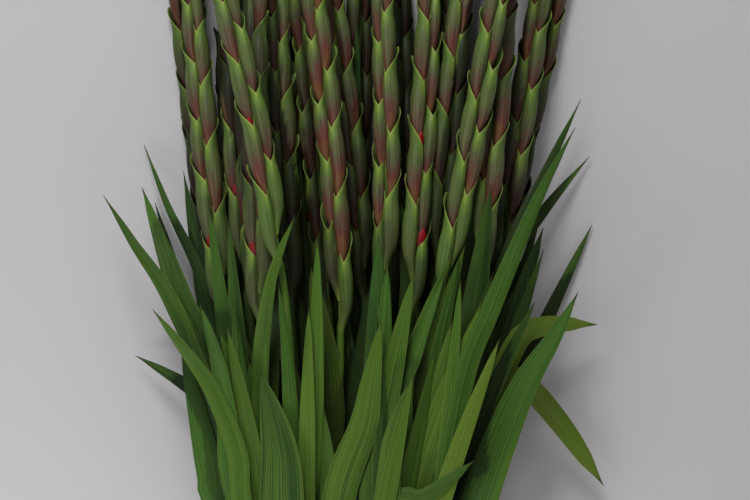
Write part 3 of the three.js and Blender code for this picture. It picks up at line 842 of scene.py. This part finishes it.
def bud_places(stem):
    """The height, side and spacing of each bud of a spike."""
    places = []
    side, y = stem.side, stem.first
    while y < stem.tip - LAST_BUD_BELOW_TIP:
        t = (y - stem.first) / (stem.tip - stem.first)
        spacing = BUD_SPACING * (1 - BUD_SPACING_SHRINK * t)
        places.append((y, side, spacing, t))
        y += spacing
        side = -side
    return places


def add_bract(piece, stem, place, turn, rust, lowest):
    """A bract, as a sheath whose edges part above its body and run up its horn."""
    y, side, spacing, t = place
    shrink = 1 - BRACT_HORN_SHRINK * t
    closed = BUD_LENGTH_IN_SPACINGS * spacing + BRACT_CLOSED_PAST_NEXT * shrink
    closed *= vary(*BRACT_LENGTH_RANGE)
    horn = BRACT_HORN * shrink
    start = y - BRACT_TUCK * shrink
    body = np.linspace(0, 1, BRACT_BODY_RINGS) ** BRACT_RING_POWER
    tip = np.linspace(0, 1, BRACT_HORN_RINGS)[1:]
    height = np.append(start + closed * body, start + closed + horn * tip)
    body_course, body_girth = np.interp(body, *BODY_COURSE), np.interp(body, *BODY_RADIUS)
    if lowest:
        neck = NECK_WIDTH / 2 * (1 - SHEATH_STEP * len(stem.leaves)) / SPIKE_RADIUS
        foot = neck * np.interp(body, *LOWEST_FOOT)
        wrapped = (1 - body / LOWEST_FOOT_OVER).clip(0, 1)
        body_course = body_course * (1 - wrapped)
        body_girth = mix(np.maximum(body_girth, foot), foot, wrapped)
    flare = vary(*BRACT_FLARE_RANGE) * np.interp(tip, *HORN_FLARE)
    course = np.append(body_course, body_course[-1] + flare)[:, None] * vary(*BRACT_TILT_RANGE)
    girth = np.append(body_girth, np.interp(tip, *HORN_RADIUS))[:, None]
    opened = np.append(0 * body, tip)[:, None]
    out, front = spike_frame(stem, np.minimum(height, stem.tip), side)
    radius = spike_radius(stem, height)[:, None]
    middle = stem_points(stem, np.minimum(height, stem.tip + BRACT_PAST_TIP)) + out * course * radius
    girth = girth * radius * vary(*BRACT_SIZE_RANGE)
    turn = turn + vary(-BRACT_TURN_RANGE, BRACT_TURN_RANGE)
    share = np.linspace(-1, 1, BRACT_AROUND)[None, :]
    half_arc = math.pi - BRACT_OPENING * opened / 2
    angle = math.pi + share * half_arc
    keel = 1 + BRACT_KEEL * np.exp(-((share / BRACT_KEEL_WIDTH) ** 2))
    keel -= BRACT_FLATTENING * np.sin(math.pi * share) ** 2
    opening = front * math.cos(turn) - out * math.sin(turn)
    beside = out * math.cos(turn) + front * math.sin(turn)
    ray = opening[:, None] * np.cos(angle)[..., None] + beside[:, None] * np.sin(angle)[..., None]
    outer = middle[:, None] + ray * (girth * keel)[..., None]
    inner_girth = np.maximum(girth - BRACT_SKIN, girth * BRACT_LEAST_INNER)
    inner = middle[:, None] + ray * (inner_girth * keel)[..., None]
    below = (start + closed - height).clip(0, None)[:, None]
    beside_edge = (1 - np.abs(share)) * half_arc * girth
    from_edge = np.hypot(beside_edge * mix(*BRACT_EDGE_ACROSS, opened), below * BRACT_EDGE_BELOW)
    v = ((height - start) / (closed + horn))[:, None]
    edge = from_edge / BRACT_EDGE_REACH
    if lowest:
        edge = np.minimum(edge, LOWEST_EDGE[0] + LOWEST_EDGE[1] * v)
        v = mix(LOWEST_GREENING, 1, v)
    marks = stacked(share, v, rust + vary(*BRACT_RUST_RANGE))
    piece.add_shell(outer, inner, marks, edge)


def add_petal(piece, stem, place, turn, size):
    """The tip of a red petal, which peeps out of the V of a bract beside the next bract."""
    y, side, spacing, t = place
    v = np.linspace(0, 1, PETAL_RINGS)
    height = y + BUD_LENGTH_IN_SPACINGS * spacing + size * mix(*PETAL_REACH, v)
    out, front = spike_frame(stem, height, side)
    radius = spike_radius(stem, height)[:, None]
    way = turn + PETAL_TURN
    aim = front * math.cos(way) - out * math.sin(way)
    course = out * PETAL_COURSE + aim * mix(*PETAL_OUT, v)[:, None]
    middle = stem_points(stem, height) + course * radius
    girth = radius * (size * PETAL_RADIUS * np.interp(v, *PETAL_SHAPE))[:, None]
    angle = angles(PETAL_AROUND)
    rings = (
        middle[:, None]
        + (out * girth)[:, None] * np.cos(angle)[None, :, None]
        + (front * girth * PETAL_FLATNESS)[:, None] * np.sin(angle)[None, :, None]
    )
    marks = np.zeros_like(rings)
    marks[..., 1] = v[:, None]
    piece.add_tube(rings, marks, slot=1)


def spike_piece(stem, petals):
    piece = Piece(f"spike_{stem.number:02d}", node_name(stem), DEEP_SPIKE_PAINTED_SHADE)
    turn = vary(*SPIKE_TURN_RANGE)
    rust = vary(*SPIKE_RUST_RANGE)
    for i, place in enumerate(bud_places(stem)):
        add_bract(piece, stem, place, turn, rust, lowest=i < LOWEST_BRACTS)
        if i in petals:
            add_petal(piece, stem, place, turn, petals[i])
    return piece


def node_name(stem):
    return f"gladiolus_{stem.number:02d}"


def leaf_rings(leaf):
    """A ribbed leaf's rings, with how far across and along it each of their points is."""
    length = leaf.course[0][-1]
    t = np.linspace(0, 1, round(length / LEAF_RINGS_EVERY))
    s, bends = t * length, leaf.bends * length
    x, y, *across = leaf_section(leaf, t)
    level = np.interp(t, leaf.bends, leaf.z)
    rounded = smoothed(bends, leaf.z, s, LEAF_SMOOTH_OVER)
    z = smoothed(s, np.maximum(level, rounded), s, LEAF_SMOOTH_AGAIN_OVER)
    eased_foot = smoothed(bends, leaf.z, s, FOOT_SMOOTH_OVER)
    z = mix(z, eased_foot, (1 - s / FOOT_SMOOTH_UPTO).clip(0, 1))
    middle = stacked(x, y, z)
    across = stacked(*across)
    point = np.clip((1 - t) / (1 - LEAF_POINT_FROM), LEAF_LEAST_POINT, 1)[:, None]
    across = across * np.sqrt(point)
    half = np.linalg.norm(across, axis=1, keepdims=True)
    up = unit(np.cross(across, np.gradient(middle, axis=0)))
    up *= np.sign(up[:, 2:])
    u = np.linspace(-1, 1, LEAF_TOP_POINTS)
    ribs = LEAF_RIB_HEIGHT * np.cos(2 * math.pi * LEAF_RIBS * u) * (1 - u**4)
    midrib = LEAF_MIDRIB_HEIGHT * np.exp(-((u / LEAF_MIDRIB_SHARE) ** 2))
    skin = LEAF_THICKNESS / 2 * (1 - LEAF_EDGE_THINNING * u**4)
    full = np.minimum(half / leaf.half_width, 1)
    top = skin + (ribs + midrib) * full - LEAF_ARCH * half * u**2
    under_u = np.linspace(1, -1, LEAF_UNDER_POINTS + 2)[1:-1]
    under_skin = LEAF_THICKNESS / 2 * (1 - LEAF_EDGE_THINNING * under_u**4)
    under = -under_skin - LEAF_ARCH * half * under_u**2
    both_u = np.append(u, under_u)
    rise = np.concatenate([top, under], axis=1)
    rings = middle[:, None] + across[:, None] * both_u[None, :, None] + up[:, None] * rise[..., None]
    return rings, both_u, t


def leaves_piece(stem):
    piece = Piece(f"leaves_{stem.number:02d}", node_name(stem), DEEP_LEAF_PAINTED_SHADE)
    for leaf in stem.leaves:
        rings, u, t = leaf_rings(leaf)
        # Painted shade: leaves of lower layers draw from darker tones, and the palest listed leaves take
        # only a small share of the painted shade for depth
        tone = vary(0, 1 - PAINTED_SHADE_TONE_STEP * (len(LAYERS) - 1 - stem.layer))
        sunk = 1.0
        if leaf.tone is not None:
            tone = leaf.tone
            sunk = PALE_LEAF_SUNK if tone > PALE_LEAF_TONE else 1.0
        piece.add_tube(rings, stacked(u[None, :], t[:, None], tone), sunk=sunk)
    return piece


def stalk_piece(stem):
    """The stalk, which steps in at each leaf's foot, where that leaf's sheath ends."""
    piece = Piece(f"stalk_{stem.number:02d}", node_name(stem), DEEP_LEAF_PAINTED_SHADE)
    start = vary(0, LARGEST_END_SHIFT)
    y = np.arange(start, stem.tip, STALK_RINGS_EVERY)
    width, thickness = stalk_size(stem, y)
    angle = angles(STALK_AROUND)
    steps = np.zeros((len(y), STALK_AROUND))
    for leaf in stem.leaves:
        slant = SHEATH_SLANT * np.cos(angle - vary(0, 2 * math.pi))
        edge = leaf.points[0][1] + SHEATH_SLANT + slant[None, :]
        steps += SHEATH_STEP * np.clip((y[:, None] - edge) / SHEATH_EDGE, 0, 1)
    scale = np.where(y < stem.first, 1 - steps.T, 1).T
    middle = stem_points(stem, y)
    rings = stacked(
        middle[:, None, 0] + (width[:, None] * scale) * np.cos(angle),
        y[:, None],
        middle[:, None, 2] + (thickness[:, None] * scale) * np.sin(angle),
    )
    piece.add_tube(rings, stacked(angle[None, :] / math.pi - 1, y[:, None] * MM, vary(0, 1)))
    # The last face but one is the cut end, which has a material of its own
    piece.slots[-2] = 1
    return piece


def tie_outline(clearance):
    """The outline of the bundle at the tie, with its sides pushed out by a clearance."""
    points = []
    for stem in stems:
        width, thickness = stalk_size(stem, TIE_Y - TIE_WIDTH / 2)
        angle = angles(STALK_OUTLINE_POINTS)
        x, z = stem_x(stem, TIE_Y), stem_z(stem, TIE_Y)
        points += [(x + width * math.cos(a), z + thickness * math.sin(a)) for a in angle]
    points = np.array(points)
    turns = angles(TIE_DIRECTIONS)
    ways = np.stack([np.cos(turns), np.sin(turns)])
    reach = (points @ ways).max(axis=0) + clearance
    turn = turns[1]
    ahead = np.roll(reach, -1)
    along = (ahead - reach * math.cos(turn)) / math.sin(turn)
    return np.stack([reach * ways[0] - along * ways[1], reach * ways[1] + along * ways[0]], -1)


def tie_piece():
    """The tie, as strands side by side that each run round the bundle in a closed ring."""
    piece = Piece("tie_band", "tie")
    half_width = TIE_WIDTH / 2 / TIE_STRANDS
    half_depth = TIE_THICKNESS / 2
    outline = tie_outline(TIE_CLEARANCE + half_depth)
    outline = outline[np.append(True, np.hypot(*np.diff(outline, axis=0).T) > TIE_LEAST_STEP)]
    closed = np.vstack([outline, outline[:1]])
    at = np.append(0, np.cumsum(np.hypot(*np.diff(closed, axis=0).T)))
    place = np.linspace(0, at[-1], TIE_RINGS, endpoint=False)
    x, z = np.interp(place, at, closed[:, 0]), np.interp(place, at, closed[:, 1])
    ring = np.stack([x, z], -1)
    tangent = unit(np.roll(ring, -1, axis=0) - np.roll(ring, 1, axis=0))
    normal = np.stack([tangent[:, 1], -tangent[:, 0]], -1)
    angle = angles(TIE_AROUND)
    for strand in range(TIE_STRANDS):
        waves = TIE_FEWEST_WAVES + strand
        wander = TIE_WANDER * np.sin(place / at[-1] * 2 * math.pi * waves + strand)
        y = TIE_Y + (2 * strand + 1 - TIE_STRANDS) * half_width + wander
        side = np.cos(angle) * half_width * TIE_OVERLAP
        deep = np.sin(angle) * half_depth * (1 - TIE_THINNING * strand)
        rings = stacked(
            x[:, None] + normal[:, :1] * deep,
            y[:, None] + side[None, :],
            z[:, None] + normal[:, 1:] * deep,
        )
        marks = stacked(np.cos(angle)[None, :], place[:, None] / TIE_MARK_LENGTH, strand / TIE_STRANDS)
        piece.add_tube(rings, marks, closed=True)
    return piece


def srgb(red, green, blue):
    """A colour as an eye sees it, from 0 to 255, for a shader."""
    return tuple((v / 255) ** 2.2 for v in (red, green, blue)) + (1,)


class Shader:
    """A material's nodes, with short ways to add and join them."""

    def __init__(self, name):
        self.material = bpy.data.materials.new(name)
        self.material.use_nodes = True
        self.nodes = self.material.node_tree.nodes
        self.links = self.material.node_tree.links
        self.shader = self.nodes["Principled BSDF"]
        self.marks = self.read("marks", "Vector")
        self.edge = self.read("edge", "Fac")
        # The painted shade, which darkens the colour deep in the pile
        self.painted_shade = self.read("painted_shade", "Fac")
        split = self.nodes.new("ShaderNodeSeparateXYZ")
        self.feed(split.inputs[0], self.marks)
        self.across, self.along, self.tone = split.outputs

    def read(self, name, output):
        """A value that the mesh stores at its points."""
        node = self.nodes.new("ShaderNodeAttribute")
        node.attribute_name = name
        return node.outputs[output]

    def feed(self, socket, value):
        if isinstance(value, bpy.types.NodeSocket):
            self.links.new(value, socket)
        else:
            socket.default_value = value

    def math(self, operation, a, b=0.0):
        node = self.nodes.new("ShaderNodeMath")
        node.operation = operation
        self.feed(node.inputs[0], a)
        self.feed(node.inputs[1], b)
        return node.outputs[0]

    def ramp(self, value, stops):
        node = self.nodes.new("ShaderNodeValToRGB")
        self.feed(node.inputs[0], value)
        elements = node.color_ramp.elements
        while len(elements) < len(stops):
            elements.new(1)
        for element, (place, colour) in zip(elements, stops):
            element.position = place
            element.color = srgb(*colour)
        return node.outputs["Color"]

    def span(self, value, low, high, from_value=0.0, to_value=1.0):
        node = self.nodes.new("ShaderNodeMapRange")
        for i, v in enumerate((value, low, high, from_value, to_value)):
            self.feed(node.inputs[i], v)
        return node.outputs[0]

    def mix(self, share, a, b):
        node = self.nodes.new("ShaderNodeMix")
        node.data_type = "RGBA"
        self.feed(node.inputs["Factor"], share)
        self.feed(node.inputs[6], a)
        self.feed(node.inputs[7], b)
        return node.outputs[2]

    def coat(self, colour, coats):
        """Coats over a colour, each from nothing at one value to its largest share at another."""
        for value, low, high, most, over in coats:
            colour = self.mix(self.span(value, low, high, 0, most), colour, srgb(*over))
        return colour

    def noise(self, stretch, detail=3.0, scale=1.0):
        """Noise laid along the marks, stretched by a different amount each way."""
        mapping = self.nodes.new("ShaderNodeMapping")
        self.feed(mapping.inputs["Vector"], self.marks)
        mapping.inputs["Scale"].default_value = stretch
        node = self.nodes.new("ShaderNodeTexNoise")
        self.feed(node.inputs["Vector"], mapping.outputs[0])
        node.inputs["Scale"].default_value = scale
        node.inputs["Detail"].default_value = detail
        return node.outputs[0]

    def bump(self, height, strength, distance):
        node = self.nodes.new("ShaderNodeBump")
        self.feed(node.inputs["Height"], height)
        node.inputs["Strength"].default_value = strength
        node.inputs["Distance"].default_value = distance
        self.links.new(node.outputs[0], self.shader.inputs["Normal"])

    def finish(self, colour, roughness, specular):
        """The material, with its colour darkened by the painted shade deep in the pile."""
        shaded = self.nodes.new("ShaderNodeVectorMath")
        shaded.operation = "SCALE"
        self.feed(shaded.inputs[0], colour)
        self.feed(shaded.inputs["Scale"], self.painted_shade)
        self.feed(self.shader.inputs["Base Color"], shaded.outputs[0])
        self.feed(self.shader.inputs["Roughness"], roughness)
        self.shader.inputs["Specular IOR Level"].default_value = specular
        return self.material


def leaf_material():
    s = Shader("leaf")
    side = s.math("ABSOLUTE", s.across)
    tip = s.math("ADD", s.along, s.math("MULTIPLY", side, 0.012))
    veins = s.noise((26, 1.2, 9), detail=2.0)
    broad = s.noise((3, 2.5, 17))
    fresh = s.math("SINE", s.math("MULTIPLY", s.tone, LEAF_TONE_TURNS))
    greens = [(0.0, (24, 46, 25)), (0.35, (46, 74, 30)), (0.7, (72, 101, 31)), (1.0, (106, 126, 44))]
    coats = [
        (fresh, 0.2, 1, 0.45, (54, 104, 38)),
        (broad, 0.4, 0.75, 0.5, (84, 118, 40)),
        (veins, 0.52, 0.66, 0.4, (108, 134, 56)),
        (veins, 0.48, 0.38, 0.45, (26, 50, 14)),
        (side, 0.05, 0.02, 0.35, (98, 126, 54)),
        (side, 0.95, 0.985, 0.5, (112, 126, 62)),
        (s.along, 0.2, 0.0, 0.7, (112, 130, 62)),
        (tip, 0.97, 0.995, 0.7, (58, 44, 28)),
    ]
    colour = s.coat(s.ramp(s.tone, greens), coats)
    ribs = s.math("SINE", s.math("MULTIPLY", s.across, LEAF_STRIPES * math.pi))
    s.bump(s.math("ADD", ribs, s.math("MULTIPLY", veins, 2.0)), 0.25, 0.0004)
    return s.finish(colour, s.span(broad, 0, 1, 0.42, 0.6), 0.18)


def bract_material():
    s = Shader("bract")
    veins = s.noise((16, 1.5, 23), detail=2.5)
    patches = s.noise((2.2, 3.5, 31))
    place = s.math("ADD", s.along, s.math("MULTIPLY", s.math("SUBTRACT", patches, 0.5), 0.5))
    place = s.math("SUBTRACT", place, s.tone)
    rust_to_green = [
        (0.06, (110, 72, 44)),
        (0.16, (100, 53, 44)),
        (0.25, (92, 62, 51)),
        (0.34, (86, 78, 55)),
        (0.46, (84, 93, 54)),
        (0.8, (84, 110, 50)),
    ]
    coats = [
        (veins, 0.54, 0.68, 0.35, (122, 124, 84)),
        (veins, 0.46, 0.34, 0.5, (38, 40, 26)),
        (s.edge, 0.95, 0.15, 0.8, (112, 142, 52)),
        (s.edge, 0.5, 0.05, 0.5, (138, 164, 58)),
        (s.edge, 0.22, 0.1, 0.5, (158, 166, 104)),
    ]
    s.bump(veins, 0.6, 0.0005)
    colour = s.coat(s.ramp(place, rust_to_green), coats)
    return s.finish(colour, s.span(patches, 0, 1, 0.42, 0.6), 0.28)


def stalk_material():
    s = Shader("stalk")
    ribs = s.noise((22, 6, 13), detail=2.0)
    patches = s.noise((1.5, 14, 7))
    greens = [(0.0, (150, 152, 104)), (0.12, (116, 132, 68)), (0.3, (66, 92, 32)), (0.55, (80, 112, 36))]
    coats = [(ribs, 0.5, 0.68, 0.3, (120, 140, 72)), (patches, 0.55, 0.75, 0.35, (62, 66, 32))]
    s.bump(ribs, 0.3, 0.0004)
    colour = s.coat(s.ramp(s.along, greens), coats)
    return s.finish(colour, s.span(patches, 0, 1, 0.45, 0.62), 0.25)


def cut_material():
    s = Shader("cut_end")
    fibres = s.noise((1, 1, 1), detail=4.0, scale=60.0)
    colour = s.mix(s.span(fibres, 0.4, 0.65), srgb(196, 196, 150), srgb(150, 150, 98))
    return s.finish(colour, 0.7, 0.3)


def petal_material():
    s = Shader("petal")
    colour = s.mix(s.span(s.along, 0, 1), srgb(70, 4, 8), srgb(158, 8, 16))
    return s.finish(colour, 0.45, 0.4)


def tie_material():
    s = Shader("raffia")
    fibres = s.noise((14, 3, 5), detail=4.0)
    colour = s.mix(s.span(fibres, 0.35, 0.7), srgb(150, 122, 76), srgb(206, 180, 126))
    s.bump(fibres, 0.5, 0.0004)
    return s.finish(colour, s.span(fibres, 0, 1, 0.6, 0.85), 0.3)


def nearest_buds(places_by_stem):
    """For each petal, the bud of the highest stem near it whose V lies closest."""
    chosen = {stem.number: {} for stem in stems}
    for x, y, size in PETALS:
        best = None
        for stem in stems:
            for i, (bud_y, side, spacing, _) in enumerate(places_by_stem[stem.number][:-TIP_BUDS]):
                v_y = bud_y + BUD_LENGTH_IN_SPACINGS * spacing
                v_x = float(stem_x(stem, v_y)) + side * V_ASIDE
                apart = math.hypot(v_x - x, (v_y - y) * ALONG_WEIGHT)
                apart -= HIGH_WEIGHT * float(stem_z(stem, v_y))
                if best is None or apart < best[0]:
                    best = (apart, stem.number, i)
        chosen[best[1]][best[2]] = size
    return chosen


def part_shift():
    """How far the layout moves to the part's own frame, read from where the tie is."""
    low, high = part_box("tie")
    outline = tie_outline(TIE_CLEARANCE + TIE_THICKNESS)
    x = (low.x + high.x) / 2 / MM - (outline[:, 0].min() + outline[:, 0].max()) / 2
    y = (low.y + high.y) / 2 / MM - TIE_Y
    z = low.z / MM - outline[:, 1].min()
    return np.array([x, y, z])


shift = part_shift()
leaf, bract, petal = leaf_material(), bract_material(), petal_material()
stalk, cut_end, raffia = stalk_material(), cut_material(), tie_material()
petal_buds = nearest_buds({stem.number: bud_places(stem) for stem in stems})
for stem in stems:
    for piece, materials in (
        (spike_piece(stem, petal_buds[stem.number]), [bract, petal]),
        (leaves_piece(stem), [leaf]),
        (stalk_piece(stem), [stalk, cut_end]),
    ):
        piece.build(materials, shift)
tie_piece().build([raffia], shift)


# The floor
floor_mesh = bpy.data.meshes.new("floor")
signs = [(-1, -1), (1, -1), (1, 1), (-1, 1)]
corners = [(x * FLOOR_HALF_SIZE, y * FLOOR_HALF_SIZE, 0) for x, y in signs]
floor_mesh.from_pydata(corners, [], [(0, 1, 2, 3)])
floor = add_object("floor", floor_mesh)
floor_material = bpy.data.materials.new("pale_floor")
floor_material.use_nodes = True
floor_shader = floor_material.node_tree.nodes["Principled BSDF"]
floor_shader.inputs["Base Color"].default_value = FLOOR_COLOUR
floor_shader.inputs["Roughness"].default_value = FLOOR_ROUGHNESS
floor_shader.inputs["Specular IOR Level"].default_value = FLOOR_SPECULAR
floor_mesh.materials.append(floor_material)


def add_lamp(name, place, target, size, power):
    light = bpy.data.lights.new(name, "AREA")
    light.shape = "DISK"
    light.size = size
    light.energy = power
    lamp = add_object(name, light)
    lamp.location = place
    lamp.rotation_euler = (Vector(target) - Vector(place)).to_track_quat("-Z", "Y").to_euler()


for name, values in LAMPS.items():
    add_lamp(name, *values)

world = bpy.data.worlds.new("studio")
world.use_nodes = True
background = world.node_tree.nodes["Background"]
background.inputs["Color"].default_value = WORLD_COLOUR
background.inputs["Strength"].default_value = WORLD_STRENGTH
bpy.context.scene.world = world
bpy.context.scene.view_settings.view_transform = "Standard"

# The camera looks straight down, with the tips at the top of the picture
camera_data = bpy.data.cameras.new("camera")
camera_data.sensor_width = SENSOR_WIDTH
camera_data.lens = SENSOR_WIDTH * VIEW_DISTANCE / VIEW_WIDTH
camera = add_object("camera", camera_data)
camera.location = (*(VIEW_CENTRE + shift[:2]) * MM, (VIEW_DISTANCE + VIEW_LEVEL) * MM)
bpy.context.scene.camera = camera
